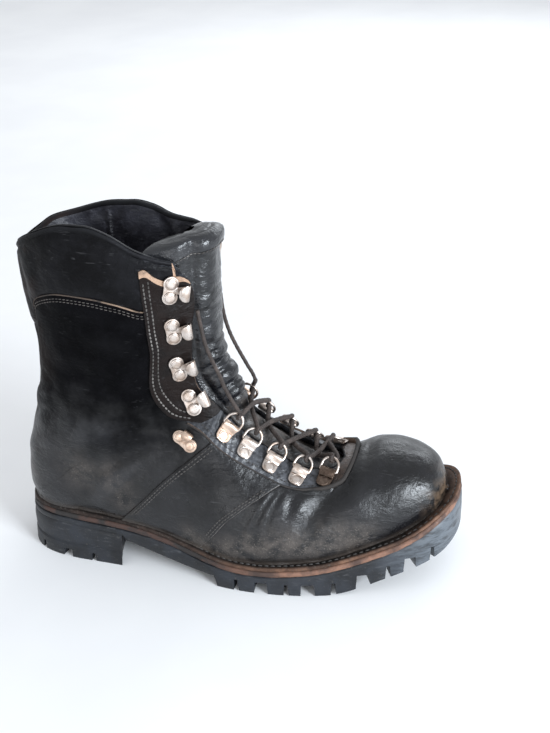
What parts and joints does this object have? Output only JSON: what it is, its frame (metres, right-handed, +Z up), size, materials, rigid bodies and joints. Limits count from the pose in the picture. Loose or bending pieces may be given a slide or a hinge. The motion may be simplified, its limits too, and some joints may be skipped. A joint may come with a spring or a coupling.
{
  "type": "insulated work boot",
  "caption": "Old black leather lace-up work boot with a high padded collar, nickel speed hooks and D-rings, a welted lugged rubber sole and loose dark laces.",
  "frame": {"origin": "middle of the sole's footprint, on the floor under heel and forefoot", "axes": "+X from heel to toe, +Y to the inner (medial) side, +Z up"},
  "size_m": [0.3056, 0.1148, 0.2535],
  "materials": {
    "black_leather": "worn, oiled, satin",
    "midsole_leather": "raw edge, worn",
    "rubber": "matt, dusty",
    "felt": "matt",
    "nickel": "satin, tarnished",
    "lace": "waxed woven cord"
  },
  "bodies": {
    "root": {"outsole": "rubber", "heel": "rubber", "midsole": "midsole_leather", "welt": "black_leather", "insole": "felt", "upper": "black_leather", "tongue": "black_leather", "stay_lateral": "black_leather", "stay_medial": "black_leather", "hook_lateral_1": "nickel", "hook_lateral_2": "nickel", "hook_lateral_3": "nickel", "hook_lateral_4": "nickel", "ankle_hook_lateral": "nickel", "clip_lateral_1": "nickel", "clip_lateral_2": "nickel", "clip_lateral_3": "nickel", "clip_lateral_4": "nickel", "clip_lateral_5": "nickel", "hook_medial_1": "nickel", "hook_medial_2": "nickel", "hook_medial_3": "nickel", "hook_medial_4": "nickel", "ankle_hook_medial": "nickel", "clip_medial_1": "nickel", "clip_medial_2": "nickel", "clip_medial_3": "nickel", "clip_medial_4": "nickel", "clip_medial_5": "nickel", "ring_lateral_1": "nickel", "ring_lateral_2": "nickel", "ring_lateral_3": "nickel", "ring_lateral_4": "nickel", "ring_lateral_5": "nickel", "ring_medial_1": "nickel", "ring_medial_2": "nickel", "ring_medial_3": "nickel", "ring_medial_4": "nickel", "ring_medial_5": "nickel", "lace_crossings": "lace", "lace_end_lateral": "lace", "lace_end_medial": "lace"}
  },
  "joints": []
}
